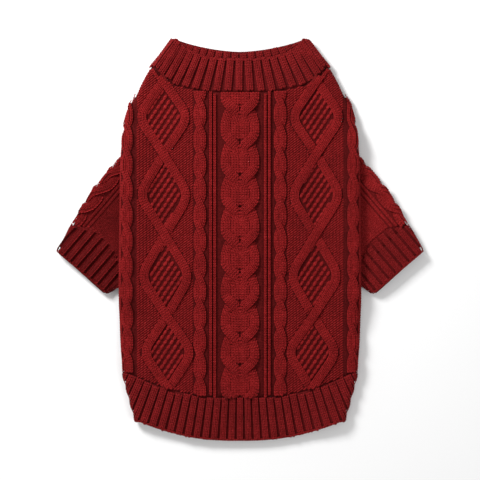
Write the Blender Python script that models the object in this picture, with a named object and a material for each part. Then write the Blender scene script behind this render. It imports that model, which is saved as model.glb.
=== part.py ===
"""A cable-knit dog sweater laid flat on its belly, back panel up, in metres with +Z up.

+Y runs from the hem to the collar and +X to the right of the garment as it is seen from above.
The origin is under the middle of the garment, on the surface that it lies on. Each knitted piece
is one closed wall between an outer and an inner skin, through sections worked out from the sizes
below.
"""

from collections import namedtuple
from math import cos, hypot, pi, sin

import bmesh
import bpy

# Knit walls and the spaces between them.
BODY_WALL = 0.0032
SLEEVE_WALL = 0.0029
SEAM_GAP = 0.0003
LAYER_GAP = 0.0006

# The roll at each side of the body, where the back panel turns under to its side seam.
FREE_ROLL = 0.0050
ROLL_OVER_SLEEVE = 0.0042
SIDE_SEAM_SHARE = 0.90
SIDE_RISE_START = 0.66

# The stretch of each side that lies on a sleeve, and how high it is held there.
SLEEVE_STRETCH_TOP = 0.096
SLEEVE_STRETCH_FOOT = -0.056
LIFT_RUN = 0.026
SLEEVE_LIFT = 0.0069

# The flattened sleeve: thin under the body, fuller towards its cuff.
SLEEVE_HEIGHT_UNDER_BODY = 0.0064
SLEEVE_HEIGHT_FREE = 0.0088
SLEEVE_FULL_START = 0.124
SLEEVE_FULL_END = 0.150

# Faces along and across each piece.
TOP_STEPS = 24
ROLL_STEPS = 6
WRAP_STEPS = 2
BELLY_STEPS = 12
PANEL_ROWS = 24
BELLY_ROWS = 14
COLLAR_ROWS = 5
HEM_ROWS = 5
BELLY_HEM_ROWS = 3
SLEEVE_LAYER_STEPS = 9
SLEEVE_ROLL_STEPS = 5
SLEEVE_ROWS_BETWEEN = 2
CUFF_ROWS = 4

# Half width of the flat garment at heights up from its middle, from collar tips to hem corners.
Outline = namedtuple("Outline", "up half_width")
BODY_OUTLINE = (
    Outline(up=0.201, half_width=0.0680),
    Outline(up=0.186, half_width=0.0790),
    Outline(up=0.172, half_width=0.0900),
    Outline(up=0.152, half_width=0.1010),
    Outline(up=0.132, half_width=0.1105),
    Outline(up=0.112, half_width=0.1158),
    Outline(up=0.084, half_width=0.1190),
    Outline(up=0.030, half_width=0.1202),
    Outline(up=-0.060, half_width=0.1210),
    Outline(up=-0.105, half_width=0.1198),
    Outline(up=-0.132, half_width=0.1170),
    Outline(up=-0.156, half_width=0.1110),
    Outline(up=-0.182, half_width=0.1040),
)

# The lines across the body where pieces meet or end: height at the middle of the back, at the
# middle of the belly and at the sides, and how late each line bends towards the sides.
Line = namedtuple("Line", "back_middle belly_middle side back_power belly_power")
COLLAR_RIM = Line(back_middle=0.1813, belly_middle=0.189, side=0.201, back_power=2.5, belly_power=1.6)
NECK_SEAM = Line(back_middle=0.148, belly_middle=0.155, side=0.172, back_power=3.0, belly_power=3.0)
HEM_SEAM = Line(back_middle=-0.158, belly_middle=-0.078, side=-0.132, back_power=2.7, belly_power=3.0)
HEM_EDGE = Line(back_middle=-0.201, belly_middle=-0.120, side=-0.182, back_power=2.5, belly_power=3.0)

# Sections of a sleeve from its armhole to its cuff's edge: the folded edge along the top of the
# sleeve and the one along the underarm, each as a distance out from the middle and a height up.
SleeveSection = namedtuple("SleeveSection", "fold_out fold_up underarm_out underarm_up")
SLEEVE_SECTIONS = (
    SleeveSection(fold_out=0.105, fold_up=0.092, underarm_out=0.105, underarm_up=-0.0380),
    SleeveSection(fold_out=0.122, fold_up=0.081, underarm_out=0.107, underarm_up=-0.0385),
    SleeveSection(fold_out=0.146, fold_up=0.052, underarm_out=0.110, underarm_up=-0.0395),
    SleeveSection(fold_out=0.167, fold_up=0.017, underarm_out=0.112, underarm_up=-0.0410),
)
CUFF_END = SleeveSection(fold_out=0.183, fold_up=-0.011, underarm_out=0.1355, underarm_up=-0.054)

# Yarn colours, a shade apart as the pieces lie in more or less light.
YARN_BODY = (0.165, 0.010, 0.011, 1.0)
YARN_RIB = (0.135, 0.009, 0.010, 1.0)
YARN_SLEEVE = (0.120, 0.008, 0.009, 1.0)
YARN_ROUGHNESS = 0.9

# Faces that meet at more than this angle show a crisp edge.
SHARP_EDGE = 0.9

# One place round a body section: which layer it is on, how far across, and how far round the roll.
Station = namedtuple("Station", "layer across turn")


def soft_step(value, start, end):
    """0 before start, 1 past end and an even S between them."""
    share = min(1.0, max(0.0, (value - start) / (end - start)))
    return share * share * (3.0 - 2.0 * share)


def half_width(up):
    """Half width of the flat garment, on a smooth curve through the outline's rows."""
    rows = BODY_OUTLINE
    last = len(rows) - 2
    index = next((i for i in range(last) if up >= rows[i + 1].up), last)
    before, start, end, after = (rows[max(0, min(last + 1, index + k))] for k in (-1, 0, 1, 2))
    span = end.up - start.up
    share = (up - start.up) / span
    leave = (end.half_width - before.half_width) / (end.up - before.up) * span
    arrive = (after.half_width - start.half_width) / (after.up - start.up) * span
    square, cube = share ** 2, share ** 3
    return ((2 * cube - 3 * square + 1) * start.half_width + (cube - 2 * square + share) * leave
            + (3 * square - 2 * cube) * end.half_width + (cube - square) * arrive)


def over_sleeve(up):
    """1 where a side lies on a sleeve, 0 where it lies on the surface below."""
    above = soft_step(up, SLEEVE_STRETCH_TOP, SLEEVE_STRETCH_TOP + LIFT_RUN)
    below = soft_step(-up, -SLEEVE_STRETCH_FOOT, -SLEEVE_STRETCH_FOOT + LIFT_RUN)
    return 1.0 - above - below


def roll_radius(up):
    return FREE_ROLL + (ROLL_OVER_SLEEVE - FREE_ROLL) * over_sleeve(up)


def back_height(across, up):
    """Height of the back's outer face: low in the middle, level with the rolls at the sides."""
    middle = 2.0 * BODY_WALL + LAYER_GAP
    side = SLEEVE_LIFT * over_sleeve(up) + 2.0 * roll_radius(up)
    return middle + (side - middle) * soft_step(abs(across), SIDE_RISE_START, 1.0)


def line_up(line, station):
    """Height up the garment of a seam line at one station."""
    on_back = station.layer != "belly"
    middle = line.back_middle if on_back else line.belly_middle
    power = line.back_power if on_back else line.belly_power
    return middle + (line.side - middle) * abs(station.across) ** power


def body_point(station, up, depth, resting):
    """A point at a depth into the wall; resting keeps the belly layer on the surface below."""
    radius = roll_radius(up)
    flat_half = half_width(up) - radius
    lift = 0.0 if resting else SLEEVE_LIFT * over_sleeve(up)
    if station.layer == "back":
        return (station.across * flat_half, up, back_height(station.across, up) - depth)
    if station.layer == "belly":
        return (station.across * flat_half, up, lift + depth)
    out = flat_half + (radius - depth) * sin(station.turn)
    return (station.across * out, up, lift + radius + (radius - depth) * cos(station.turn))


def steps(start, end, count):
    """Evenly spaced values from start up to but not including end."""
    return [start + (end - start) * i / count for i in range(count)]


def back_stations():
    """Across the back from the left to the right, without the last one."""
    return [Station("back", across, 0.0) for across in steps(-1.0, 1.0, TOP_STEPS)]


def roll_stations(side, start, end):
    return [Station("roll", side, turn) for turn in steps(start, end, ROLL_STEPS)]


def belly_stations(start, end, count):
    return [Station("belly", across, 0.0) for across in steps(start, end, count)]


def round_the_body():
    """Stations of a closed ring: back, right roll, belly layer, left roll."""
    return (back_stations() + roll_stations(1.0, 0.0, pi)
            + belly_stations(1.0, SIDE_SEAM_SHARE, WRAP_STEPS)
            + belly_stations(SIDE_SEAM_SHARE, -SIDE_SEAM_SHARE, BELLY_STEPS)
            + belly_stations(-SIDE_SEAM_SHARE, -1.0, WRAP_STEPS)
            + roll_stations(-1.0, pi, 0.0))


def seam_to_seam_over_the_back():
    """Stations from the left side seam, under and over the left roll, to the right side seam."""
    seam = SIDE_SEAM_SHARE + SEAM_GAP / half_width(0.0)
    return (belly_stations(-seam, -1.0, WRAP_STEPS) + roll_stations(-1.0, pi, 0.0)
            + back_stations() + roll_stations(1.0, 0.0, pi)
            + belly_stations(1.0, seam, WRAP_STEPS) + [Station("belly", seam, 0.0)])


def seam_to_seam_on_the_belly():
    """Stations of the belly layer from the right side seam to the left one."""
    return (belly_stations(SIDE_SEAM_SHARE, -SIDE_SEAM_SHARE, BELLY_STEPS)
            + [Station("belly", -SIDE_SEAM_SHARE, 0.0)])


def body_skins(stations, upper_line, lower_line, count, resting=False):
    """Outer and inner rows of points between two lines, half a seam gap inside each."""
    skins = []
    for depth in (0.0, BODY_WALL):
        rows = []
        for i in range(count + 1):
            row = []
            for station in stations:
                top = line_up(upper_line, station) - SEAM_GAP / 2.0
                foot = line_up(lower_line, station) + SEAM_GAP / 2.0
                row.append(body_point(station, top + (foot - top) * i / count, depth, resting))
            rows.append(row)
        skins.append(rows)
    return skins


def sleeve_height(out):
    """Full height of the flattened sleeve at a distance out from the middle."""
    full = soft_step(out, SLEEVE_FULL_START, SLEEVE_FULL_END)
    return SLEEVE_HEIGHT_UNDER_BODY + (SLEEVE_HEIGHT_FREE - SLEEVE_HEIGHT_UNDER_BODY) * full


def armhole_out(up):
    """Distance out of the side seam, which the armhole follows."""
    return SIDE_SEAM_SHARE * (half_width(up) - roll_radius(up)) + SEAM_GAP


def sleeve_ring(section, depth, at_armhole=False):
    """Ring of a flattened tube: upper layer, folded edge, lower layer, underarm edge."""
    run_out = section.fold_out - section.underarm_out
    run_up = section.fold_up - section.underarm_up
    length = hypot(run_out, run_up)
    fold_radius = sleeve_height(section.fold_out) / 2.0
    under_radius = sleeve_height(section.underarm_out) / 2.0

    def place(along, height=None):
        out = section.underarm_out + run_out * along / length
        up = section.underarm_up + run_up * along / length
        if at_armhole:
            out = armhole_out(up)
        return (out, up, sleeve_height(out) - depth if height is None else height)

    def round_edge(centre, radius, start, end):
        """The rolled edge about a centre, from one layer to the other."""
        return [place(centre + (radius - depth) * sin(turn), radius + (radius - depth) * cos(turn))
                for turn in steps(start, end, SLEEVE_ROLL_STEPS)]

    inner, outer = under_radius, length - fold_radius
    ring = [place(along) for along in steps(inner, outer, SLEEVE_LAYER_STEPS)]
    ring += round_edge(outer, fold_radius, 0.0, pi)
    ring += [place(along, depth) for along in steps(outer, inner, SLEEVE_LAYER_STEPS)]
    ring += round_edge(inner, under_radius, -pi, 0.0)
    return ring


def between(start, end, share):
    """A sleeve section part of the way between two others."""
    return SleeveSection(*(a + (b - a) * share for a, b in zip(start, end)))


def sleeve_sections():
    """Sections from the armhole to the cuff seam."""
    sections = []
    for start, end in zip(SLEEVE_SECTIONS, SLEEVE_SECTIONS[1:]):
        sections += [between(start, end, share) for share in steps(0.0, 1.0, SLEEVE_ROWS_BETWEEN)]
    return sections + [SLEEVE_SECTIONS[-1]]


def cuff_sections():
    """Sections from just past the cuff seam to the cuff's edge."""
    seam = SLEEVE_SECTIONS[-1]
    length = hypot(CUFF_END.fold_out - seam.fold_out, CUFF_END.fold_up - seam.fold_up)
    first = 2.0 * SEAM_GAP / length
    return [between(seam, CUFF_END, share) for share in steps(first, 1.0, CUFF_ROWS)] + [CUFF_END]


def tube_skins(sections, side, from_armhole=False):
    """Outer and inner rings for one side of the garment, each facing outwards."""
    skins = []
    for depth in (0.0, SLEEVE_WALL):
        rings = [sleeve_ring(section, depth, at_armhole=from_armhole and i == 0)
                 for i, section in enumerate(sections)]
        if side < 0:
            rings = [[(-out, up, height) for out, up, height in reversed(ring)] for ring in rings]
        skins.append(rings)
    return skins


def yarn(name, colour):
    material = bpy.data.materials.new(name)
    material.use_nodes = True
    shader = material.node_tree.nodes["Principled BSDF"]
    shader.inputs["Base Color"].default_value = colour
    shader.inputs["Roughness"].default_value = YARN_ROUGHNESS
    shader.inputs["Metallic"].default_value = 0.0
    return material


def skin_faces(wall, grid, tube):
    """Faces between rows of vertices; the rows of a tube close on themselves."""
    for upper, lower in zip(grid, grid[1:]):
        pairs = list(zip(upper, lower))
        if tube:
            pairs.append(pairs[0])
        for (a, b), (d, c) in zip(pairs, pairs[1:]):
            wall.faces.new((a, b, c, d))


def knit_piece(name, skins, colour, tube):
    """One closed wall between an outer and an inner skin, with an edge all round each opening."""
    outer, inner = skins
    wall = bmesh.new()
    outer_grid = [[wall.verts.new(point) for point in row] for row in outer]
    inner_grid = [[wall.verts.new(point) for point in row] for row in inner]
    skin_faces(wall, outer_grid, tube)
    skin_faces(wall, [row[::-1] for row in inner_grid], tube)
    for row in (0, -1):
        skin_faces(wall, [outer_grid[row], inner_grid[row]], tube)
    if not tube:
        for end in (0, -1):
            skin_faces(wall, [[row[end] for row in outer_grid], [row[end] for row in inner_grid]], tube)
    bmesh.ops.recalc_face_normals(wall, faces=wall.faces)
    mesh = bpy.data.meshes.new(name)
    wall.to_mesh(mesh)
    wall.free()
    mesh.shade_smooth()
    mesh.set_sharp_from_angle(angle=SHARP_EDGE)
    mesh.materials.append(yarn(name + "_yarn", colour))
    piece = bpy.data.objects.new(name, mesh)
    bpy.context.collection.objects.link(piece)


for old in list(bpy.data.objects):
    bpy.data.objects.remove(old, do_unlink=True)

over_the_back = seam_to_seam_over_the_back()
on_the_belly = seam_to_seam_on_the_belly()
knit_piece("back_panel", body_skins(over_the_back, NECK_SEAM, HEM_SEAM, PANEL_ROWS),
           YARN_BODY, tube=False)
knit_piece("belly_panel", body_skins(on_the_belly, NECK_SEAM, HEM_SEAM, BELLY_ROWS, resting=True),
           YARN_SLEEVE, tube=False)
knit_piece("collar", body_skins(round_the_body(), COLLAR_RIM, NECK_SEAM, COLLAR_ROWS),
           YARN_RIB, tube=True)
knit_piece("back_hem_rib", body_skins(over_the_back, HEM_SEAM, HEM_EDGE, HEM_ROWS),
           YARN_RIB, tube=False)
knit_piece("belly_hem_rib",
           body_skins(on_the_belly, HEM_SEAM, HEM_EDGE, BELLY_HEM_ROWS, resting=True),
           YARN_RIB, tube=False)
for side, side_name in ((1.0, "right"), (-1.0, "left")):
    knit_piece("sleeve_" + side_name, tube_skins(sleeve_sections(), side, from_armhole=True),
               YARN_SLEEVE, tube=True)
    knit_piece("cuff_" + side_name, tube_skins(cuff_sections(), side), YARN_RIB, tube=True)
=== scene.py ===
"""A cable-knit dog sweater laid flat on a pale floor with its back up, seen from straight above.

Lengths are in metres. +Y runs from the hem to the collar and +X to the right. Charts give a
place on the cloth by its distance along the face from the middle, round the rolled side where
it goes that far, and by its height up the garment.
"""

import random
from collections import namedtuple
from math import atan2, cos, exp, hypot, pi, radians, sin

import bmesh
import bpy
from mathutils import Matrix, Vector


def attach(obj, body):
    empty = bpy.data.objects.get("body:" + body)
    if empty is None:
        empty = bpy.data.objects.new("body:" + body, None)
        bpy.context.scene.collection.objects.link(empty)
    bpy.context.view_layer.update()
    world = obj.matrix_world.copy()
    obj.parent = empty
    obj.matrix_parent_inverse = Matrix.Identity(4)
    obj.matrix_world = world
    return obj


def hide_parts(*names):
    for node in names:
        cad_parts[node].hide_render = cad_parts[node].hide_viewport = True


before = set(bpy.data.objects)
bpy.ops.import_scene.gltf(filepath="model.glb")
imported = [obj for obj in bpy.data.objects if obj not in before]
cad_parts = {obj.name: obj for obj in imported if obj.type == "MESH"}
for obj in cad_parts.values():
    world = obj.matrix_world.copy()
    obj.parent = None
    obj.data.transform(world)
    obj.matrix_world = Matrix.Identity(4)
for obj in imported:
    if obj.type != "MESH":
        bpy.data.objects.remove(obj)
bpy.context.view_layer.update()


# ------------------------------------------------------------------------------------------
# The stage: a matt white table top, a straight-down camera a good metre above it, a large soft
# lamp to the upper left, a weaker one opposite and an even white surround.

def linear(hex_colour):
    """An sRGB hex colour as linear RGBA."""
    channels = [int(hex_colour[i:i + 2], 16) / 255.0 for i in (1, 3, 5)]
    return tuple(c / 12.92 if c <= 0.04045 else ((c + 0.055) / 1.055) ** 2.4 for c in channels) + (1.0,)


def add_node(tree, kind, settings=None, **links):
    """Adds a node, sets its properties and inputs, and links sockets given by input name."""
    node = tree.nodes.new(kind)
    for name, value in (settings or {}).items():
        if hasattr(node, name):
            setattr(node, name, value)
        else:
            node.inputs[name].default_value = value
    for name, source in links.items():
        tree.links.new(source, node.inputs[name.replace("_", " ")])
    return node


def painted(name, colour, roughness):
    """A plain material whose tree starts with its shader and output."""
    material = bpy.data.materials.new(name)
    material.use_nodes = True
    shader = material.node_tree.nodes["Principled BSDF"]
    shader.inputs["Base Color"].default_value = linear(colour)
    shader.inputs["Roughness"].default_value = roughness
    return material


def new_piece(name, mesh, material):
    """Links a mesh as a piece at the origin and gives it its material, if any."""
    piece = bpy.data.objects.new(name, mesh)
    bpy.context.collection.objects.link(piece)
    if material:
        mesh.materials.clear()
        mesh.materials.append(material)
    return piece


FLOOR_HALF = 3.0
FLOOR_LEVEL = -0.0003
floor_mesh = bpy.data.meshes.new("floor")
floor_mesh.from_pydata([(x * FLOOR_HALF, y * FLOOR_HALF, FLOOR_LEVEL)
                        for x, y in ((-1.0, -1.0), (1.0, -1.0), (1.0, 1.0), (-1.0, 1.0))],
                       [], [(0, 1, 2, 3)])
# Matt white painted board: an even pale ground that shows only soft shadows.
new_piece("floor", floor_mesh, painted("white_table_top", "#f4f4f4", 0.9))

CAMERA_HEIGHT = 1.1405
lens = bpy.data.cameras.new("camera")
lens.lens = 85.0
lens.sensor_width = 36.0
camera = bpy.data.objects.new("camera", lens)
camera.location = (0.0, 0.0, CAMERA_HEIGHT)
bpy.context.collection.objects.link(camera)
bpy.context.scene.camera = camera


def softbox(name, place, aim, size, power):
    lamp = bpy.data.lights.new(name, "AREA")
    lamp.shape = "SQUARE"
    lamp.size = size
    lamp.energy = power
    holder = bpy.data.objects.new(name, lamp)
    holder.location = place
    holder.rotation_euler = (Vector(aim) - Vector(place)).to_track_quat("-Z", "Y").to_euler()
    bpy.context.collection.objects.link(holder)


softbox("key", (-0.58, 0.64, 0.64), (0.0, 0.0, 0.0), 0.30, 13.5)
softbox("fill", (1.3, -0.9, 1.5), (0.0, 0.0, 0.0), 1.2, 10.0)
surround = bpy.data.worlds.new("white_surround")
surround.use_nodes = True
surround.node_tree.nodes["Background"].inputs["Color"].default_value = (1.0, 1.0, 1.0, 1.0)
surround.node_tree.nodes["Background"].inputs["Strength"].default_value = 0.50
bpy.context.scene.world = surround
bpy.context.scene.view_settings.view_transform = "Standard"


# ------------------------------------------------------------------------------------------
# The back panel: one aran panel of wool, knitted from the neck to the hem, with a horseshoe
# cable, ropes and diamonds on a purl ground. It turns under at both sides to its side seams.

FREE_ROLL = 0.0050
ROLL_OVER_SLEEVE = 0.0042
WALL = 0.0032
SLEEVE_LIFT = 0.0069
SIDE_SEAM_SHARE = 0.90
FACE_DEPTH = 0.0010
LINING_DEPTH = 0.0030
SEAM_GAP = 0.0003
BODY_OUTLINE = (
    (0.201, 0.0680), (0.186, 0.0790), (0.172, 0.0900), (0.152, 0.1010), (0.132, 0.1105),
    (0.112, 0.1158), (0.084, 0.1190), (0.030, 0.1202), (-0.060, 0.1210), (-0.105, 0.1198),
    (-0.132, 0.1170), (-0.156, 0.1110), (-0.182, 0.1040),
)
Line = namedtuple("Line", "back_middle belly_middle side back_power belly_power")
COLLAR_RIM = Line(back_middle=0.1813, belly_middle=0.189, side=0.201, back_power=2.5, belly_power=1.6)
NECK_SEAM = Line(back_middle=0.148, belly_middle=0.155, side=0.172, back_power=3.0, belly_power=3.0)
HEM_SEAM = Line(back_middle=-0.158, belly_middle=-0.078, side=-0.132, back_power=2.7, belly_power=3.0)
HEM_EDGE = Line(back_middle=-0.201, belly_middle=-0.120, side=-0.182, back_power=2.5, belly_power=3.0)


def soft_step(value, start, end):
    """0 before start, 1 past end and an even S between them."""
    share = min(1.0, max(0.0, (value - start) / (end - start)))
    return share * share * (3.0 - 2.0 * share)


def half_width(up):
    """Half width of the flat garment, on a smooth curve through the outline's rows."""
    rows = BODY_OUTLINE
    last = len(rows) - 2
    index = next((i for i in range(last) if up >= rows[i + 1][0]), last)
    before, start, end, after = (rows[max(0, min(last + 1, index + k))] for k in (-1, 0, 1, 2))
    span = end[0] - start[0]
    share = (up - start[0]) / span
    leave = (end[1] - before[1]) / (end[0] - before[0]) * span
    arrive = (after[1] - start[1]) / (after[0] - start[0]) * span
    square, cube = share ** 2, share ** 3
    return ((2 * cube - 3 * square + 1) * start[1] + (cube - 2 * square + share) * leave
            + (3 * square - 2 * cube) * end[1] + (cube - square) * arrive)


def over_sleeve(up):
    """1 where a side lies on a sleeve, 0 where it lies on the table."""
    return 1.0 - soft_step(up, 0.096, 0.122) - soft_step(-up, 0.056, 0.082)


def roll_radius(up):
    return FREE_ROLL + (ROLL_OVER_SLEEVE - FREE_ROLL) * over_sleeve(up)


def line_up(line, turn):
    """Height up the garment of a seam line at a turn round the body."""
    away = abs(turn)
    if away <= 1.0:
        return line.back_middle + (line.side - line.back_middle) * away ** line.back_power
    if away <= 2.0:
        return line.side
    return line.belly_middle + (line.side - line.belly_middle) * (3.0 - away) ** line.belly_power


def swell(out, up):
    """How the back lies a little proud or slack from place to place."""
    return (0.0005 * sin(38.0 * out + 21.0 * up + 0.6) + 0.0004 * sin(-24.0 * out + 47.0 * up + 2.1)
            + 0.0002 * sin(90.0 * out - 60.0 * up))


def body_point(turn, up, height, resting=False):
    """A point of the flattened body, at a height above its outer face.

    A turn of 0 is the middle of the back, 1 the start of the side's roll, 2 its end under the
    side and 3 the middle of the belly; resting keeps the belly layer on the table.
    """
    side = -1.0 if turn < 0.0 else 1.0
    away = abs(turn)
    radius = roll_radius(up)
    flat = half_width(up) - radius
    lift = 0.0 if resting else SLEEVE_LIFT * over_sleeve(up)
    if away <= 1.0:
        middle = 2.0 * WALL + 0.0006
        edge = SLEEVE_LIFT * over_sleeve(up) + 2.0 * radius
        face = middle + (edge - middle) * soft_step(away, 0.66, 1.0)
        return Vector((turn * flat, up, face + swell(turn * flat, up) * (1.0 - away ** 4) + height))
    if away <= 2.0:
        angle = (away - 1.0) * pi
        out = flat + (radius + height) * sin(angle)
        return Vector((side * out, up, max(0.0002, lift + radius + (radius + height) * cos(angle))))
    return Vector((side * (3.0 - away) * flat, up, lift - min(height, -0.0002)))


def turn_of(along, up):
    """The turn at a distance along the face from the middle of the back."""
    side = -1.0 if along < 0.0 else 1.0
    radius = roll_radius(up)
    flat = half_width(up) - radius
    away = abs(along)
    if away <= flat:
        return along / flat
    away -= flat
    if away <= pi * radius:
        return side * (1.0 + away / (pi * radius))
    return side * (2.0 + (away - pi * radius) / flat)


def on_body(along, up, height):
    """A point at a height above the cloth, placed by its chart."""
    return body_point(turn_of(along, up), up, height)


STITCHED_TURN = 1.62


def between_lines(lower, upper, margin):
    """A test for places between two seam lines, as far round the sides as the cloth shows."""
    def inside(along, up):
        turn = turn_of(along, up)
        return (abs(turn) <= STITCHED_TURN
                and line_up(lower, turn) + margin < up < line_up(upper, turn) - margin)

    return inside


on_back_panel = between_lines(HEM_SEAM, NECK_SEAM, 0.0010)


def spaced(start, end, count):
    """Evenly spaced values from start to end, both included."""
    return [start + (end - start) * i / count for i in range(count + 1)]


def shell_faces(grid, tube, flip):
    """Faces between rows of vertex numbers; the rows of a tube close on themselves."""
    faces = []
    for upper, lower in zip(grid, grid[1:]):
        pairs = list(zip(upper, lower))
        if tube:
            pairs.append(pairs[0])
        for (a, b), (d, c) in zip(pairs, pairs[1:]):
            faces.append((d, c, b, a) if flip else (a, b, c, d))
    return faces


def cloth_shell(name, outer, inner, tube, material):
    """One closed layer of knitting between an outer and an inner skin, as plain mesh.

    Its bake map holds the outer skin in the left half and the inner one in the right half.
    """
    width = len(outer[0])
    count = len(outer) * width
    grids = [[[first + r * width + c for c in range(width)] for r in range(len(outer))]
             for first in (0, count)]
    faces = shell_faces(grids[0], tube, False) + shell_faces(grids[1], tube, True)
    for row in (0, -1):
        faces += shell_faces([grids[0][row], grids[1][row]], tube, row == 0)
    if not tube:
        for end in (0, -1):
            faces += shell_faces([[row[end] for row in grids[0]], [row[end] for row in grids[1]]],
                                 False, end == -1)
    mesh = bpy.data.meshes.new(name)
    mesh.from_pydata([p for skin in (outer, inner) for row in skin for p in row], [], faces)
    shell = bmesh.new()
    shell.from_mesh(mesh)
    bmesh.ops.recalc_face_normals(shell, faces=shell.faces)
    bake_map = shell.loops.layers.uv.new("OFBake")
    shell.verts.ensure_lookup_table()
    for face in shell.faces:
        face.smooth = True
        columns = [corner.vert.index % width for corner in face.loops]
        wraps = tube and max(columns) - min(columns) > width / 2
        for corner, column in zip(face.loops, columns):
            row = corner.vert.index % count // width
            across = (column + width if wraps and column < width / 2 else column) / (width + 1)
            inside = corner.vert.index >= count
            corner[bake_map].uv = (0.02 + 0.46 * across + (0.5 if inside else 0.0),
                                   0.02 + 0.96 * row / (len(outer) - 1))
    shell.to_mesh(mesh)
    shell.free()
    return new_piece(name, mesh, material)


def body_skins(turns, upper, lower, count, resting=False):
    """Outer and inner rows of points between two seam lines."""
    skins = []
    for height in (-FACE_DEPTH, -LINING_DEPTH):
        rows = []
        for share in spaced(0.0, 1.0, count):
            row = []
            for turn in turns:
                top = line_up(upper, turn) - SEAM_GAP / 2.0
                foot = line_up(lower, turn) + SEAM_GAP / 2.0
                row.append(body_point(turn, top + (foot - top) * share, height, resting))
            rows.append(row)
        skins.append(rows)
    return skins


def wool(name, colour, light_fibre, dark_fibre, strength):
    """Wool: heathered fibres a millimetre apart, broad uneven dye and a fuzzy sheen.

    A painted shade stored on each stitch, times a small random tone, darkens the colour of the ones that
    sit deep between raised columns, where shadow falls.
    """
    material = painted(name, colour, 0.92)
    tree = material.node_tree
    shader = tree.nodes["Principled BSDF"]
    shader.inputs["Specular IOR Level"].default_value = 0.08
    shader.inputs["Sheen Weight"].default_value = 0.10
    shader.inputs["Sheen Roughness"].default_value = 0.55
    shader.inputs["Sheen Tint"].default_value = linear("#c85a56")
    where = add_node(tree, "ShaderNodeTexCoord").outputs["Object"]
    fibres = add_node(tree, "ShaderNodeTexNoise", {"Scale": 1.0 / 0.0011, "Detail": 3.0, "Roughness": 0.65},
                      Vector=where)
    dye = add_node(tree, "ShaderNodeTexNoise", {"Scale": 1.0 / 0.014, "Detail": 2.0, "Roughness": 0.5},
                   Vector=where)
    ramp = add_node(tree, "ShaderNodeValToRGB", Fac=fibres.outputs["Fac"])
    ramp.color_ramp.elements[0].position = 0.30
    ramp.color_ramp.elements[0].color = linear(dark_fibre)
    ramp.color_ramp.elements[1].position = 0.72
    ramp.color_ramp.elements[1].color = linear(light_fibre)
    middle = ramp.color_ramp.elements.new(0.5)
    middle.color = linear(colour)
    uneven = add_node(tree, "ShaderNodeMapRange", {"From Min": 0.3, "From Max": 0.7, "To Min": 0.88,
                                                   "To Max": 1.10}, Value=dye.outputs["Fac"])
    # Painted shade: the stored value darkens the colour of sunk stitches and of the cloth behind them.
    shade = add_node(tree, "ShaderNodeAttribute", {"attribute_name": "shade"})
    tone = add_node(tree, "ShaderNodeMath", {"operation": "MULTIPLY"})
    tree.links.new(uneven.outputs["Result"], tone.inputs[0])
    tree.links.new(shade.outputs["Fac"], tone.inputs[1])
    toned = add_node(tree, "ShaderNodeVectorMath", {"operation": "SCALE"}, Vector=ramp.outputs["Color"],
                     Scale=tone.outputs["Value"])
    tree.links.new(toned.outputs["Vector"], shader.inputs["Base Color"])
    fuzz = add_node(tree, "ShaderNodeTexNoise", {"Scale": 1.0 / 0.0006, "Detail": 2.0, "Roughness": 0.6},
                    Vector=where)
    bump = add_node(tree, "ShaderNodeBump", {"Strength": strength, "Distance": 0.0004},
                    Height=fuzz.outputs["Fac"])
    tree.links.new(bump.outputs["Normal"], shader.inputs["Normal"])
    return material


def give_shade(piece, value):
    """Stores one painted shade all over a piece, which darkens its colour as if it lay in shadow."""
    shades = piece.data.attributes.new("shade", "FLOAT", "POINT")
    shades.data.foreach_set("value", [value] * len(piece.data.vertices))


def unit_mesh(name, parts):
    """A stitch in a unit cell from arched grains, each given as rings of (x, y, z, half, thick)."""
    shape = bmesh.new()
    local = shape.verts.layers.float_vector.new("local")
    for rings in parts:
        rows = []
        for i, (x, y, z, half, thick) in enumerate(rings):
            before = rings[max(0, i - 1)]
            after = rings[min(len(rings) - 1, i + 1)]
            run = Vector((after[0] - before[0], after[1] - before[1], 0.0)).normalized()
            beside = Vector((run.y, -run.x, 0.0))
            centre = Vector((x, y, z))
            angles = (0.0,) if half == 0.0 else (-95.0, -48.0, 0.0, 48.0, 95.0)
            rows.append([shape.verts.new(centre + beside * half * sin(radians(a))
                                         + Vector((0.0, 0.0, thick * cos(radians(a)))))
                         for a in angles])
        for upper, lower in zip(rows, rows[1:]):
            if len(upper) == 1:
                shape_faces = [(upper[0], lower[j + 1], lower[j]) for j in range(4)]
            elif len(lower) == 1:
                shape_faces = [(upper[j], upper[j + 1], lower[0]) for j in range(4)]
            else:
                shape_faces = [(upper[j], upper[j + 1], lower[j + 1], lower[j]) for j in range(4)]
            for corners in shape_faces:
                shape.faces.new(corners)
    for vertex in shape.verts:
        vertex[local] = vertex.co
    for face in shape.faces:
        face.smooth = True
        if face.normal.z < 0.0:
            face.normal_flip()
    shape.normal_update()
    if sum(face.normal.z for face in shape.faces) < 0.0:
        bmesh.ops.reverse_faces(shape, faces=shape.faces)
    mesh = bpy.data.meshes.new(name)
    shape.to_mesh(mesh)
    shape.free()
    return bpy.data.objects.new(name, mesh)


def loop_leg(side):
    """One leg of a knit loop, from deep at its foot over a full middle to its head."""
    return ((side * 0.07, -0.70, -0.34, 0.0, 0.0), (side * 0.15, -0.42, -0.06, 0.20, 0.40),
            (side * 0.245, 0.0, 0.06, 0.245, 0.50), (side * 0.31, 0.40, -0.04, 0.20, 0.40),
            (side * 0.33, 0.66, -0.34, 0.0, 0.0))


KNIT_LOOP = unit_mesh("knit_loop", [loop_leg(-1.0), loop_leg(1.0)])
PURL_BUMP = unit_mesh("purl_bump", [((0.0, -0.56, -0.30, 0.0, 0.0), (0.0, -0.36, 0.0, 0.40, 0.40),
                                     (0.0, 0.0, 0.06, 0.50, 0.50), (0.0, 0.36, 0.0, 0.40, 0.40),
                                     (0.0, 0.56, -0.30, 0.0, 0.0))])


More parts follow.
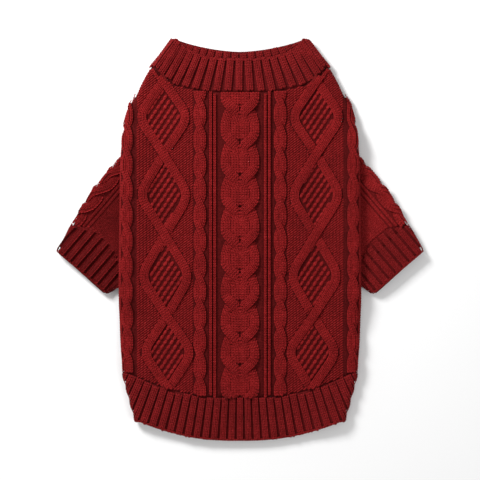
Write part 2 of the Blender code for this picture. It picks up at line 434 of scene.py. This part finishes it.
def stitch_setter():
    """A node tree that sets a knit loop or a purl bump on each point and realizes them."""
    tree = bpy.data.node_groups.new("set_stitches", "GeometryNodeTree")
    for name, kind in (("Places", "Geometry"), ("Loop", "Object"), ("Bump", "Object"),
                       ("Yarn", "Material"), ("Unevenness", "Float"), ("Seed", "Int")):
        tree.interface.new_socket(name=name, in_out="INPUT", socket_type="NodeSocket" + kind)
    tree.interface.new_socket(name="Stitches", in_out="OUTPUT", socket_type="NodeSocketGeometry")
    given = tree.nodes.new("NodeGroupInput")
    result = tree.nodes.new("NodeGroupOutput")

    def stored(name, kind):
        return add_node(tree, "GeometryNodeInputNamedAttribute",
                        {"data_type": kind, "Name": name}).outputs["Attribute"]

    uneven = add_node(tree, "FunctionNodeRandomValue", {"data_type": "FLOAT_VECTOR"},
                      Seed=given.outputs["Seed"])
    for socket, operation in enumerate(("SUBTRACT", "ADD")):
        limit = add_node(tree, "ShaderNodeMath", {"operation": operation})
        limit.inputs[0].default_value = 1.0
        tree.links.new(given.outputs["Unevenness"], limit.inputs[1])
        tree.links.new(limit.outputs[0], uneven.inputs[socket])
    size = add_node(tree, "ShaderNodeVectorMath", {"operation": "MULTIPLY"})
    tree.links.new(stored("size", "FLOAT_VECTOR"), size.inputs[0])
    tree.links.new(uneven.outputs[0], size.inputs[1])
    is_bump = stored("is_bump", "BOOLEAN")
    is_loop = add_node(tree, "FunctionNodeBooleanMath", {"operation": "NOT"})
    tree.links.new(is_bump, is_loop.inputs[0])
    joined = tree.nodes.new("GeometryNodeJoinGeometry")
    for shape, chosen in (("Loop", is_loop.outputs[0]), ("Bump", is_bump)):
        template = add_node(tree, "GeometryNodeObjectInfo", Object=given.outputs[shape])
        placed = add_node(tree, "GeometryNodeInstanceOnPoints", Points=given.outputs["Places"],
                          Selection=chosen, Instance=template.outputs["Geometry"],
                          Rotation=stored("turn", "FLOAT_VECTOR"), Scale=size.outputs[0])
        tree.links.new(placed.outputs["Instances"], joined.inputs["Geometry"])
    real = add_node(tree, "GeometryNodeRealizeInstances", Geometry=joined.outputs["Geometry"])
    dyed = add_node(tree, "GeometryNodeSetMaterial", Geometry=real.outputs["Geometry"],
                    Material=given.outputs["Yarn"])
    tree.links.new(dyed.outputs["Geometry"], result.inputs["Stitches"])
    return tree


STITCH_SETTER = stitch_setter()
Stitch = namedtuple("Stitch", "place turn size chart shade is_bump")
PROBE = 0.0004
chance = random.Random(7)


def set_stitch(surface, along, up, height, lean, tilt, size, shade=1.0, is_bump=False):
    """A stitch on a surface; lean turns it in the cloth and tilt rolls it about its length."""
    place = surface(along, up, height)
    across = (surface(along + PROBE, up, height) - surface(along - PROBE, up, height)).normalized()
    ahead = surface(along, up + PROBE, height) - surface(along, up - PROBE, height)
    facing = across.cross(ahead).normalized()
    axes = Matrix((across, facing.cross(across), facing)).transposed()
    axes = axes @ Matrix.Rotation(lean, 3, "Z") @ Matrix.Rotation(tilt, 3, "Y")
    # Painted shade for the stitch's depth, times a small random tone of its own.
    shade *= 1.0 + chance.uniform(-0.07, 0.07)
    return Stitch(place, axes.to_euler(), size, (along, up, 0.0), shade, is_bump)


def stitched(name, stitches, yarn, chart_box, unevenness=0.05):
    """A piece of realized stitches, its bake map laid out by each stitch's place in the chart."""
    places = bpy.data.meshes.new(name)
    places.from_pydata([s.place for s in stitches], [], [])
    for field, kind, key in (("turn", "FLOAT_VECTOR", "vector"), ("size", "FLOAT_VECTOR", "vector"),
                             ("chart", "FLOAT_VECTOR", "vector"), ("shade", "FLOAT", "value"),
                             ("is_bump", "BOOLEAN", "value")):
        values = [getattr(s, field) for s in stitches]
        if key == "vector":
            values = [number for vector in values for number in vector]
        places.attributes.new(field, kind, "POINT").data.foreach_set(key, values)
    carrier = bpy.data.objects.new(name + "_places", places)
    bpy.context.collection.objects.link(carrier)
    setter = carrier.modifiers.new("set_stitches", "NODES")
    setter.node_group = STITCH_SETTER
    given = {"Loop": KNIT_LOOP, "Bump": PURL_BUMP, "Yarn": yarn, "Unevenness": unevenness, "Seed": 11}
    for item in STITCH_SETTER.interface.items_tree:
        if item.in_out == "INPUT" and item.name in given:
            setter[item.identifier] = given[item.name]
    evaluated = carrier.evaluated_get(bpy.context.evaluated_depsgraph_get())
    mesh = bpy.data.meshes.new_from_object(evaluated)
    mesh.name = name
    bpy.data.objects.remove(carrier, do_unlink=True)
    count = len(mesh.vertices)
    fields = {}
    for field in ("chart", "local", "size"):
        fields[field] = [0.0] * (3 * count)
        mesh.attributes[field].data.foreach_get("vector", fields[field])
    left, foot, right, top = chart_box
    spots = []
    for i in range(count):
        across = fields["chart"][3 * i] + fields["local"][3 * i] * fields["size"][3 * i]
        up = fields["chart"][3 * i + 1] + fields["local"][3 * i + 1] * fields["size"][3 * i + 1]
        spots.append(((across - left) / (right - left), (up - foot) / (top - foot)))
    corners = [0] * len(mesh.loops)
    mesh.loops.foreach_get("vertex_index", corners)
    bake_map = mesh.uv_layers.new(name="OFBake")
    bake_map.data.foreach_set("uv", [number for corner in corners for number in spots[corner]])
    for field in ("chart", "local", "size", "turn", "is_bump"):
        if field in mesh.attributes:
            mesh.attributes.remove(mesh.attributes[field])
    return new_piece(name, mesh, None)


Step = namedtuple("Step", "along up rise")
Strand = namedtuple("Strand", "track wales wale crown")
COURSE = 0.00245
WALE = 0.0033
LOFT = 0.0012
HIDDEN = -0.0014


def walk(track, pitch):
    """Evenly spaced steps along a track, each with the way it heads as a lean from upright."""
    steps, travelled, wanted = [], 0.0, 0.0
    for start, end in zip(track, track[1:]):
        length = hypot(end.along - start.along, end.up - start.up)
        lean = -atan2(end.along - start.along, end.up - start.up)
        while wanted <= travelled + length:
            share = (wanted - travelled) / length
            steps.append((Step(*(a + (b - a) * share for a, b in zip(start, end))), lean))
            wanted += pitch
        travelled += length
    return steps


def strand_stitches(surface, strand, inside):
    """Knit loops in wales side by side along a strand, crowned across it."""
    stitches = []
    half = strand.wales * strand.wale / 2.0
    for step, lean in walk(strand.track, COURSE):
        if step.rise < HIDDEN:
            continue
        for j in range(strand.wales):
            offset = (j - (strand.wales - 1) / 2.0) * strand.wale
            along = step.along + offset * cos(lean)
            up = step.up + offset * sin(lean)
            if not inside(along, up):
                continue
            height = step.rise + strand.crown * (1.0 - (offset / half) ** 2)
            tilt = 2.0 * strand.crown * offset / half ** 2
            size = (strand.wale * 1.02, COURSE * 1.04, LOFT)
            stitches.append(set_stitch(surface, along, up, height, lean, tilt, size))
    return stitches


CORE_SIDES = 8


def strand_cores(name, surface, strands, inside, yarn, chart_box, shade=0.55, sink=0.0002):
    """The body of yarn under the faces of the stitches of some strands, as closed tubes."""
    points, faces, spots = [], [], []
    left, foot, right, top = chart_box
    for strand in strands:
        half = strand.wales * strand.wale / 2.0 * 0.97
        rings, stretches = [], []
        for step, lean in walk(strand.track, COURSE):
            if inside(step.along, step.up):
                rings.append((step, lean))
            elif rings:
                stretches.append(rings)
                rings = []
        stretches.append(rings)
        for rings in stretches:
            if len(rings) < 2:
                continue
            first = len(points)
            for step, lean in rings:
                for j in range(CORE_SIDES):
                    angle = 2.0 * pi * j / CORE_SIDES
                    offset = half * cos(angle)
                    crown = strand.crown * (1.0 - cos(angle) ** 2)
                    height = step.rise - sink + (crown if sin(angle) > 0.0 else -0.0010)
                    along = step.along + offset * cos(lean)
                    up = step.up + offset * sin(lean)
                    points.append(surface(along, up, height))
                    spots.append(((along - left) / (right - left), (up - foot) / (top - foot)))
            for i in range(len(rings) - 1):
                for j in range(CORE_SIDES):
                    a = first + i * CORE_SIDES + j
                    b = first + i * CORE_SIDES + (j + 1) % CORE_SIDES
                    faces.append((a, b, b + CORE_SIDES, a + CORE_SIDES))
            faces.append(tuple(first + j for j in reversed(range(CORE_SIDES))))
            last = first + (len(rings) - 1) * CORE_SIDES
            faces.append(tuple(last + j for j in range(CORE_SIDES)))
    mesh = bpy.data.meshes.new(name)
    mesh.from_pydata(points, [], faces)
    shape = bmesh.new()
    shape.from_mesh(mesh)
    bmesh.ops.recalc_face_normals(shape, faces=shape.faces)
    bake_map = shape.loops.layers.uv.new("OFBake")
    for face in shape.faces:
        face.smooth = len(face.verts) == 4
        for corner in face.loops:
            corner[bake_map].uv = spots[corner.vert.index]
    shape.to_mesh(mesh)
    shape.free()
    piece = new_piece(name, mesh, yarn)
    # The cores show only in the gaps between stitches, so their colour gets a painted shade.
    give_shade(piece, shade)
    return piece


def crossing_track(feet, first, over_run, under_run, place, over_rise, under_rise, top, foot):
    """The track of one strand that passes over and under its neighbour at each crossing.

    place turns a share of 0 (where it sets out to pass over) to 1 (where it sets out to pass
    under) into a distance along; over_run and under_run are heights above and below a foot.
    """
    track = []
    for up in spaced(foot, top, int((top - foot) / 0.0012)):
        share, rise = (1.0 if first else 0.0), 0.0
        for number, crossing in enumerate(feet):
            over = (number + first) % 2 == 0
            above, below = over_run if over else under_run
            moved = soft_step(crossing - up, -above, below)
            share += moved if over else -moved
            if over:
                rise += over_rise * min(1.0, 4.0 * moved * (1.0 - moved))
            else:
                rise -= under_rise * min(1.0, 4.0 * moved * (1.0 - moved))
        track.append(Step(place(share, up), up, rise))
    return track


def rim_track(line, shift, reach):
    """A track along a finished edge, a little inside it."""
    track = []
    for along in spaced(-reach, reach, 160):
        up = line.side
        for _ in range(5):
            up = line_up(line, turn_of(along, up))
        track.append(Step(along, up + shift, 0.0005))
    return track


def anywhere(along, up):
    return True


# One red yarn in three copies, with the fibres a little lighter and darker. The rib copy is painted darker,
# as painted shade for the light falling off over the hem, and the sleeve copy painted lighter, as painted
# light on the sleeves.
back_wool = wool("red_wool_back", "#7c1516", "#9a2729", "#560808", 0.7)
rib_wool = wool("red_wool_ribs", "#721415", "#8e2427", "#500707", 0.7)
sleeve_wool = wool("red_wool_sleeves", "#86191a", "#a22c2e", "#5e0a0a", 0.7)

seam_turn = 3.0 - SIDE_SEAM_SHARE - 0.002
over_the_back = (spaced(-seam_turn, -2.0, 3)[:-1] + spaced(-2.0, -1.0, 8)[:-1] + spaced(-1.0, 1.0, 56)
                 + spaced(1.0, 2.0, 8)[1:] + spaced(2.0, seam_turn, 3)[1:])
outer, inner = body_skins(over_the_back, NECK_SEAM, HEM_SEAM, 64)
back_base = cloth_shell("back_panel_cloth", outer, inner, False, back_wool)
# The cloth behind the stitches is darkened to a third by painted shade, for the shadow between them.
give_shade(back_base, 0.34)
BODY_CHART = (-0.160, -0.215, 0.160, 0.215)
PANEL_TOP = 0.172
PANEL_FOOT = -0.166

# The horseshoe cable up the middle: two strands of three wales in each half, the outer one
# crossing over the inner one towards the middle about every 33 mm.
HORSESHOE_FEET = (0.159, 0.126, 0.092, 0.059, 0.027, -0.006, -0.038, -0.069, -0.101, -0.132, -0.165)


def horseshoe_strand(side, first):
    """One strand: it is drawn in at each crossing's foot and comes out low from under it."""
    def place(share, up):
        nearest = min((up - foot for foot in HORSESHOE_FEET), key=abs)
        drawn_in = 0.0021 * exp(-((nearest + 0.0010) / 0.0050) ** 2)
        return side * (0.0146 - 0.0098 * share - drawn_in)

    track = crossing_track(HORSESHOE_FEET, first, (0.0155, 0.0005), (0.0095, 0.0015), place,
                           0.0017, 0.0018, 0.158, PANEL_FOOT)
    lowered = []
    for step in track:
        nearest = min((step.up - foot for foot in HORSESHOE_FEET), key=abs)
        lowered.append(step._replace(rise=step.rise - 0.0008 * exp(-((nearest + 0.0040) / 0.0036) ** 2)))
    return Strand(lowered, 3, 0.0032, 0.0010)


horseshoe = [horseshoe_strand(side, first) for side in (-1.0, 1.0) for first in (0, 1)]

# A rope on each side of it, two wales over two, twisted the same way on both.
ROPE_PITCH = 0.0252
ROPE_FEET = [0.163 - ROPE_PITCH * i for i in range(14)]


def rope(middle, reach, feet, wales, wale, crown, top=PANEL_TOP, foot=PANEL_FOOT, swing=0.0095):
    """Two strands that twist round each other, bands falling to the right."""
    strands = []
    for first in (0, 1):
        track = crossing_track(feet, first, (swing, swing), (swing, swing),
                               lambda share, up: middle + reach * (2.0 * share - 1.0),
                               0.0011, 0.0016, top, foot)
        strands.append(Strand(track, wales, wale, crown))
    return strands


ropes = (rope(-0.0402, 0.0031, ROPE_FEET, 2, WALE, 0.0011)
         + rope(0.0402, 0.0031, ROPE_FEET, 2, WALE, 0.0011))
edge_ropes = (rope(-0.1123, 0.0028, ROPE_FEET, 2, 0.0030, 0.0011)
              + rope(0.1123, 0.0028, ROPE_FEET, 2, 0.0030, 0.0011))

# The diamonds: two travelling strands of three wales that cross, part and meet again.
Diamond = namedtuple("Diamond", "top widest foot half_width")
DIAMONDS = (Diamond(0.233, 0.195, 0.159, 0.0215), Diamond(0.159, 0.123, 0.086, 0.0215),
            Diamond(0.086, 0.045, 0.005, 0.0212), Diamond(0.005, -0.036, -0.076, 0.0212),
            Diamond(-0.076, -0.112, -0.149, 0.0212), Diamond(-0.149, -0.188, -0.228, 0.0212))


def diamond_axis(up):
    """Distance out of the middle of a diamond column, which closes in towards the hem."""
    return 0.0752 - 0.0036 * (soft_step(-up, -0.02, 0.16)) + 0.0012 * soft_step(up, 0.0, 0.1)


def diamond_spread(up):
    """Half the distance between the two strands, and which diamond this is in."""
    for number, diamond in enumerate(DIAMONDS):
        if diamond.foot <= up <= diamond.top:
            if up >= diamond.widest:
                share = (diamond.top - up) / (diamond.top - diamond.widest)
            else:
                share = (up - diamond.foot) / (diamond.widest - diamond.foot)
            straight = min(share, 0.72)
            rounded = (share - straight) - (share - straight) ** 2 / 0.56
            return diamond.half_width * 1.163 * (straight + rounded), number
    return 0.0, 0


diamonds = []
for side in (-1.0, 1.0):
    for first in (0, 1):
        track = []
        for up in spaced(PANEL_FOOT, PANEL_TOP, 280):
            spread, number = diamond_spread(up)
            out = 1.0 if (number + first) % 2 == 0 else -1.0
            near = min((abs(up - d.foot), i) for i, d in enumerate(DIAMONDS))
            over = (near[1] + first) % 2 == 0
            closeness = exp(-(near[0] / 0.0065) ** 4)
            rise = 0.0008 * closeness if over else -0.0018 * closeness
            track.append(Step(side * (diamond_axis(up) + out * spread), up, rise))
        diamonds.append(Strand(track, 3, 0.0030, 0.0011))

STRAND_RISE = 0.0003
for strands in (horseshoe, ropes, edge_ropes, diamonds):
    strands[:] = [s._replace(track=[p._replace(rise=p.rise + STRAND_RISE) for p in s.track])
                  for s in strands]

cable_parts = []
for name, strands in (("horseshoe_cable", horseshoe), ("rope_cables", ropes + edge_ropes),
                      ("diamond_cables", diamonds)):
    found = [stitch for strand in strands
             for stitch in strand_stitches(on_body, strand, on_back_panel)]
    cable_parts.append(stitched(name, found, back_wool, BODY_CHART))
    cable_parts.append(strand_cores(name + "_core", on_body, strands, on_back_panel, back_wool, BODY_CHART))

# Between them: single ribs, purl gutters, the hatched purl ground round the diamonds,
# moss inside them, and plain knitting that turns under to the side seams.
Columns = namedtuple("Columns", "outs height lean size shade is_bump")
# The shade of each kind is painted shade: the sunk purl gutters are darkened deeply and the plain sides a
# little.
PLAIN_COLUMNS = (
    Columns((0.0253, 0.0293), 0.0008, 0.0, (0.0027, COURSE * 1.05, 0.0012), 1.0, False),
    Columns((0.0220, 0.0273, 0.0320, 0.1032, 0.1056), -0.0012, radians(80.0),
            (0.0012, 0.0026, 0.0008), 0.36, True),
    Columns([0.1198 + wale * 0.0030 for wale in range(8)], -0.0006, 0.0,
            (0.0029, COURSE * 1.05, 0.0011), 0.9, False),
)
rows = [PANEL_TOP - COURSE * i for i in range(140)]
plain = [set_stitch(on_body, side * out, up, kind.height, kind.lean, 0.0, kind.size, kind.shade,
                    kind.is_bump)
         for side in (-1.0, 1.0) for kind in PLAIN_COLUMNS for out in kind.outs for up in rows
         if on_back_panel(side * out, up)]
# The sunk hatched ground and moss get a light painted shade.
ground = []
for side in (-1.0, 1.0):
    for column in range(17):
        out = 0.0485 + column * WALE
        for course, up in enumerate(rows):
            spread = diamond_spread(up)[0]
            away = abs(out - diamond_axis(up))
            if away > spread + 0.0050 and on_back_panel(side * out, up):
                ground.append(set_stitch(on_body, side * out, up, -0.0009, radians(-54.0), 0.0,
                                         (0.0016, 0.0043, 0.0012), 0.92, True))
            elif (away < spread - 0.0050 and course % 2 == 0 and (column + course // 2) % 2 == 0
                  and on_back_panel(side * out, up)):
                ground.append(set_stitch(on_body, side * out, up, -0.0004, radians(-34.0), 0.0,
                                         (0.0034, 0.0060, 0.0014), 0.97, True))
cable_parts.append(stitched("plain_columns", plain, back_wool, BODY_CHART))
cable_parts.append(stitched("purl_ground", ground, back_wool, BODY_CHART))

for piece in [back_base] + cable_parts:
    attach(piece, "root")
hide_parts("back_panel")


# ------------------------------------------------------------------------------------------
# The belly panel: wool in stocking stitch, shorter than the back and sewn to it along the side
# seams. It lies face down, out of sight, so it is a plain shell without its stitches.

on_the_belly = spaced(3.0 - SIDE_SEAM_SHARE, 3.0, 10)[:-1] + spaced(-3.0, -3.0 + SIDE_SEAM_SHARE, 10)
outer, inner = body_skins(on_the_belly, NECK_SEAM, HEM_SEAM, 30, resting=True)
belly = cloth_shell("belly_panel_cloth", outer, inner, False, sleeve_wool)
# Painted shade darkens the belly's colour a little where it lies underneath.
give_shade(belly, 0.8)
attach(belly, "root")
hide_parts("belly_panel")


# ------------------------------------------------------------------------------------------
# The hem bands: two-by-two rib in wool, picked up along the back and the belly. Paired wales
# stand up as rounded ribs; the purl wales sunk between them are left to the cloth behind.

RIB_MARGIN = 0.0009
RIM_WALE = 0.0021
HEM_FAN_FROM = -0.162
on_hem = between_lines(HEM_EDGE, HEM_SEAM, RIB_MARGIN)
outer, inner = body_skins(over_the_back, HEM_SEAM, HEM_EDGE, 12)
hem_base = cloth_shell("back_hem_cloth", outer, inner, False, rib_wool)
# The cloth between the ribs is darkened by painted shade.
give_shade(hem_base, 0.50)
hem_ribs = []
for number in range(-16, 17):
    start = 0.0075 * number + 0.0000053 * number ** 3
    wale = 0.0031 + 0.0000045 * number ** 2
    track = [Step(start * (1.0 + 3.9 * (HEM_FAN_FROM - up)), up, 0.0) for up in spaced(-0.203, -0.128, 40)]
    hem_ribs.append(Strand(track, 2, wale, 0.0011))
found = [stitch for rib in hem_ribs for stitch in strand_stitches(on_body, rib, on_hem)]
found += strand_stitches(on_body, Strand(rim_track(HEM_EDGE, 0.0011, 0.108), 1, RIM_WALE, 0.0), anywhere)
hem_parts = [stitched("hem_ribs", found, rib_wool, BODY_CHART),
             strand_cores("hem_ribs_core", on_body, hem_ribs, on_hem, rib_wool, BODY_CHART)]
for piece in [hem_base] + hem_parts:
    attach(piece, "root")
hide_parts("back_hem_rib")

outer, inner = body_skins(on_the_belly, HEM_SEAM, HEM_EDGE, 8, resting=True)
belly_hem = cloth_shell("belly_hem_cloth", outer, inner, False, rib_wool)
# Painted shade darkens the belly's hem band where it lies underneath.
give_shade(belly_hem, 0.7)
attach(belly_hem, "root")
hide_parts("belly_hem_rib")


# ------------------------------------------------------------------------------------------
# The collar: a tube of two-by-two rib picked up round the neck, folded flat with the sweater,
# so that its far side shows above its near side as the inside of the throat.

COLLAR_FAN_FROM = 0.162
on_collar = between_lines(NECK_SEAM, COLLAR_RIM, RIB_MARGIN)
round_the_body = (spaced(-1.0, 1.0, 48)[:-1] + spaced(1.0, 2.0, 8)[:-1] + spaced(2.0, 3.0, 20)[:-1]
                  + spaced(-3.0, -2.0, 20)[:-1] + spaced(-2.0, -1.0, 8)[:-1])
outer, inner = body_skins(round_the_body, COLLAR_RIM, NECK_SEAM, 12)
collar_base = cloth_shell("collar_cloth", outer, inner, True, rib_wool)
# The cloth between the ribs is darkened by painted shade.
give_shade(collar_base, 0.50)
collar_ribs = []
throat_ribs = []
for number in range(-12, 13):
    start = 0.01015 * number - 0.0009
    track = [Step(start * (1.0 - 8.0 * (up - COLLAR_FAN_FROM)), up, 0.0)
             for up in spaced(0.146, 0.202, 32)]
    collar_ribs.append(Strand(track, 2, 0.0036, 0.0012))
    track = [Step((start + 0.0051) * (1.0 - 8.0 * (up - COLLAR_FAN_FROM)), up, 0.0)
             for up in spaced(0.166, 0.202, 20)]
    throat_ribs.append(Strand(track, 2, 0.0033, 0.0011))


def in_throat(along, up, height):
    """The inner face of the collar's far layer, seen from above through the neck."""
    return Vector((along, up, WALL + height))


def on_throat(along, up):
    flat = half_width(up) - roll_radius(up)
    turn = 3.0 - abs(along) / flat
    return abs(along) < 0.96 * flat and up < line_up(COLLAR_RIM, turn) - 0.0012


found = [stitch for rib in collar_ribs for stitch in strand_stitches(on_body, rib, on_collar)]
found += strand_stitches(on_body, Strand(rim_track(COLLAR_RIM, -0.0011, 0.072), 1, RIM_WALE, 0.0), anywhere)
inside = [stitch for rib in throat_ribs for stitch in strand_stitches(in_throat, rib, on_throat)]
collar_parts = [stitched("collar_ribs", found, rib_wool, BODY_CHART),
                strand_cores("collar_ribs_core", on_body, collar_ribs, on_collar, rib_wool, BODY_CHART),
                stitched("throat_ribs", inside, rib_wool, BODY_CHART),
                strand_cores("throat_ribs_core", in_throat, throat_ribs, on_throat, rib_wool, BODY_CHART)]
for piece in [collar_base] + collar_parts:
    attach(piece, "root")
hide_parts("collar")


# ------------------------------------------------------------------------------------------
# The sleeves: short tubes set in along the side seams, pressed flat under the body's sides.
# A six-wale rope runs along the folded edge, then two single ribs, then stocking stitch.

SleeveSection = namedtuple("SleeveSection", "fold_out fold_up underarm_out underarm_up")
SLEEVE_SECTIONS = (
    SleeveSection(0.105, 0.092, 0.105, -0.0380), SleeveSection(0.122, 0.081, 0.107, -0.0385),
    SleeveSection(0.146, 0.052, 0.110, -0.0395), SleeveSection(0.167, 0.017, 0.112, -0.0410),
)
CUFF_END = SleeveSection(0.183, -0.011, 0.1355, -0.054)
SLEEVE_AXIS = Vector((0.649, -0.761))
SLEEVE_SIDEWAYS = Vector((0.761, 0.649))
SLEEVE_ORIGIN = Vector((0.123, 0.050))
SLEEVE_WALL = 0.0029
CUFF_RIM = 0.0856


def sleeve_height(out):
    """Full height of the flattened sleeve at a distance out from the middle."""
    return 0.0064 + 0.0024 * soft_step(out, 0.124, 0.150)


def sleeve_edges():
    """The folded edge and the underarm edge as chart places, from the armhole to the cuff."""
    edges = ([], [])
    for section in SLEEVE_SECTIONS + (CUFF_END,):
        for edge, corner in zip(edges, ((section.fold_out, section.fold_up),
                                        (section.underarm_out, section.underarm_up))):
            away = Vector(corner) - SLEEVE_ORIGIN
            edge.append((away.dot(SLEEVE_AXIS), away.dot(SLEEVE_SIDEWAYS)))
    return edges


FOLD_EDGE, UNDERARM_EDGE = sleeve_edges()


def edge_at(edge, down):
    """Sideways place of an edge at a distance down the sleeve."""
    index = next((i for i in range(len(edge) - 2) if down <= edge[i + 1][0]), len(edge) - 2)
    start, end = edge[index], edge[index + 1]
    return start[1] + (end[1] - start[1]) * (down - start[0]) / (end[0] - start[0])


def on_sleeve(side):
    """A surface function for the upper layer and folded edges of one sleeve and its cuff.

    Its chart runs sideways towards the folded edge, and up from the cuff towards the neck.
    """
    def surface(sideways, up, height):
        down = -up
        fold = edge_at(FOLD_EDGE, down)
        under = min(edge_at(UNDERARM_EDGE, down), fold - 0.012)
        plan = SLEEVE_ORIGIN + SLEEVE_AXIS * down + SLEEVE_SIDEWAYS * min(sideways, fold)
        full = sleeve_height(plan.x)
        radius = full / 2.0
        level = full + height
        if sideways > fold - radius:
            angle = (sideways - fold + radius) / radius
            sideways = fold - radius + (radius + height) * sin(min(pi, angle))
            level = max(0.0003, radius + (radius + height) * cos(min(pi, angle)))
        elif sideways < under + radius:
            angle = (under + radius - sideways) / radius
            sideways = under + radius - (radius + height) * sin(min(pi, angle))
            level = max(0.0003, radius + (radius + height) * cos(min(pi, angle)))
        plan = SLEEVE_ORIGIN + SLEEVE_AXIS * down + SLEEVE_SIDEWAYS * sideways
        return Vector((side * plan.x, plan.y, level))

    return surface


def armhole_out(up):
    return SIDE_SEAM_SHARE * (half_width(up) - roll_radius(up)) + SEAM_GAP


def sleeve_ring(section, depth, at_armhole=False):
    """Ring of a flattened tube: upper layer, folded edge, lower layer, underarm edge."""
    run_out = section.fold_out - section.underarm_out
    run_up = section.fold_up - section.underarm_up
    length = hypot(run_out, run_up)
    fold_radius = sleeve_height(section.fold_out) / 2.0
    under_radius = sleeve_height(section.underarm_out) / 2.0

    def place(along, height=None):
        out = section.underarm_out + run_out * along / length
        up = section.underarm_up + run_up * along / length
        if at_armhole:
            out = armhole_out(up)
        return Vector((out, up, sleeve_height(out) - depth if height is None else height))

    def round_edge(centre, radius, start, end):
        return [place(centre + (radius - depth) * sin(turn), radius + (radius - depth) * cos(turn))
                for turn in spaced(start, end, 6)[:-1]]

    low, high = under_radius, length - fold_radius
    ring = [place(along) for along in spaced(low, high, 14)[:-1]]
    ring += round_edge(high, fold_radius, 0.0, pi)
    ring += [place(along, depth) for along in spaced(high, low, 14)[:-1]]
    ring += round_edge(low, under_radius, -pi, 0.0)
    return ring


def between(start, end, share):
    return SleeveSection(*(a + (b - a) * share for a, b in zip(start, end)))


def tube_skins(sections, side, from_armhole=False):
    skins = []
    for depth in (FACE_DEPTH, SLEEVE_WALL - 0.0002):
        rings = [sleeve_ring(section, depth, from_armhole and i == 0)
                 for i, section in enumerate(sections)]
        skins.append([[Vector((side * p.x, p.y, p.z)) for p in ring] for ring in rings])
    return skins


sleeve_sections = []
for start, end in zip(SLEEVE_SECTIONS, SLEEVE_SECTIONS[1:]):
    sleeve_sections += [between(start, end, share) for share in spaced(0.0, 1.0, 4)[:-1]]
sleeve_sections.append(SLEEVE_SECTIONS[-1])
cuff_sections = [between(SLEEVE_SECTIONS[-1], CUFF_END, share) for share in spaced(0.004, 1.0, 8)]
SLEEVE_CHART = (-0.090, -0.100, 0.040, 0.060)


def cuff_top(sideways):
    """How far down the sleeve the cuff's ribs begin on the upper layer."""
    return 0.0440 + 0.0105 * soft_step(sideways, -0.012, 0.012) + 0.012 * soft_step(-sideways, 0.022, 0.060)


def on_sleeve_knit(sideways, up, margin=0.0008):
    down = -up
    plan = SLEEVE_ORIGIN + SLEEVE_AXIS * down + SLEEVE_SIDEWAYS * sideways
    fold = edge_at(FOLD_EDGE, down)
    return (plan.x > 0.108 and down < cuff_top(sideways) - margin
            and edge_at(UNDERARM_EDGE, down) - 0.004 < sideways < fold + 0.0036)


def on_cuff(sideways, up, margin=0.0008):
    down = -up
    fold = edge_at(FOLD_EDGE, down)
    return (cuff_top(sideways) + margin < down < CUFF_RIM
            and edge_at(UNDERARM_EDGE, down) - 0.0045 < sideways < fold + 0.0036)


for side, side_name in ((1.0, "right"), (-1.0, "left")):
    surface = on_sleeve(side)
    # The left sleeve's chart is a mirror image, which turns its stitches to face into the cloth.
    outer, inner = tube_skins(sleeve_sections, side, True)
    sleeve = cloth_shell("sleeve_cloth_" + side_name, outer, inner, True, sleeve_wool)
    # Painted shade darkens the cloth behind the sleeve's stitches.
    give_shade(sleeve, 0.45)
    strands = rope(0.0135, 0.0046, [0.040 - ROPE_PITCH * i for i in range(5)], 3, 0.0031, 0.0010,
                   top=0.050, foot=-0.060, swing=0.0105)
    for sideways in (-0.0022, 0.0020):
        strands.append(Strand([Step(sideways, up, 0.0) for up in spaced(-0.060, 0.050, 60)],
                              1, 0.0026, 0.0))
    found = [s for strand in strands for s in strand_stitches(surface, strand, on_sleeve_knit)]
    # Stocking stitch beside the ribs, a little sunk, with a light painted shade.
    for column in range(18):
        sideways = -0.0068 - column * 0.0032
        for course in range(50):
            up = 0.050 - course * COURSE
            if on_sleeve_knit(sideways, up):
                found.append(set_stitch(surface, sideways, up, -0.0007, 0.0, 0.0,
                                        (0.0032, COURSE * 1.05, 0.0011), 0.9))
    sleeve_parts = [stitched("sleeve_stitches_" + side_name, found, sleeve_wool, SLEEVE_CHART),
                    strand_cores("sleeve_cable_core_" + side_name, surface, strands, on_sleeve_knit,
                                 sleeve_wool, SLEEVE_CHART)]
    for piece in [sleeve] + sleeve_parts:
        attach(piece, "root")
    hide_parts("sleeve_" + side_name)

    outer, inner = tube_skins(cuff_sections, side)
    cuff = cloth_shell("cuff_cloth_" + side_name, outer, inner, True, rib_wool)
    # Painted shade darkens the cloth between the cuff's ribs.
    give_shade(cuff, 0.50)
    ribs = []
    for number in range(10):
        sideways = 0.0105 - number * 0.0088
        ribs.append(Strand([Step(sideways, up, 0.0) for up in spaced(-CUFF_RIM, -0.040, 40)],
                           2, 0.0033, 0.0011))
    edge = Strand([Step(sideways, -0.0850, 0.0005) for sideways in spaced(-0.060, 0.011, 60)],
                  1, RIM_WALE, 0.0)
    found = [s for rib in ribs for s in strand_stitches(surface, rib, on_cuff)]
    found += strand_stitches(surface, edge, anywhere)
    cuff_parts = [stitched("cuff_ribs_" + side_name, found, rib_wool, SLEEVE_CHART),
                  strand_cores("cuff_ribs_core_" + side_name, surface, ribs, on_cuff, rib_wool,
                               SLEEVE_CHART)]
    for piece in [cuff] + cuff_parts:
        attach(piece, "root")
    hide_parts("cuff_" + side_name)

for template in (KNIT_LOOP, PURL_BUMP):
    bpy.data.objects.remove(template, do_unlink=True)
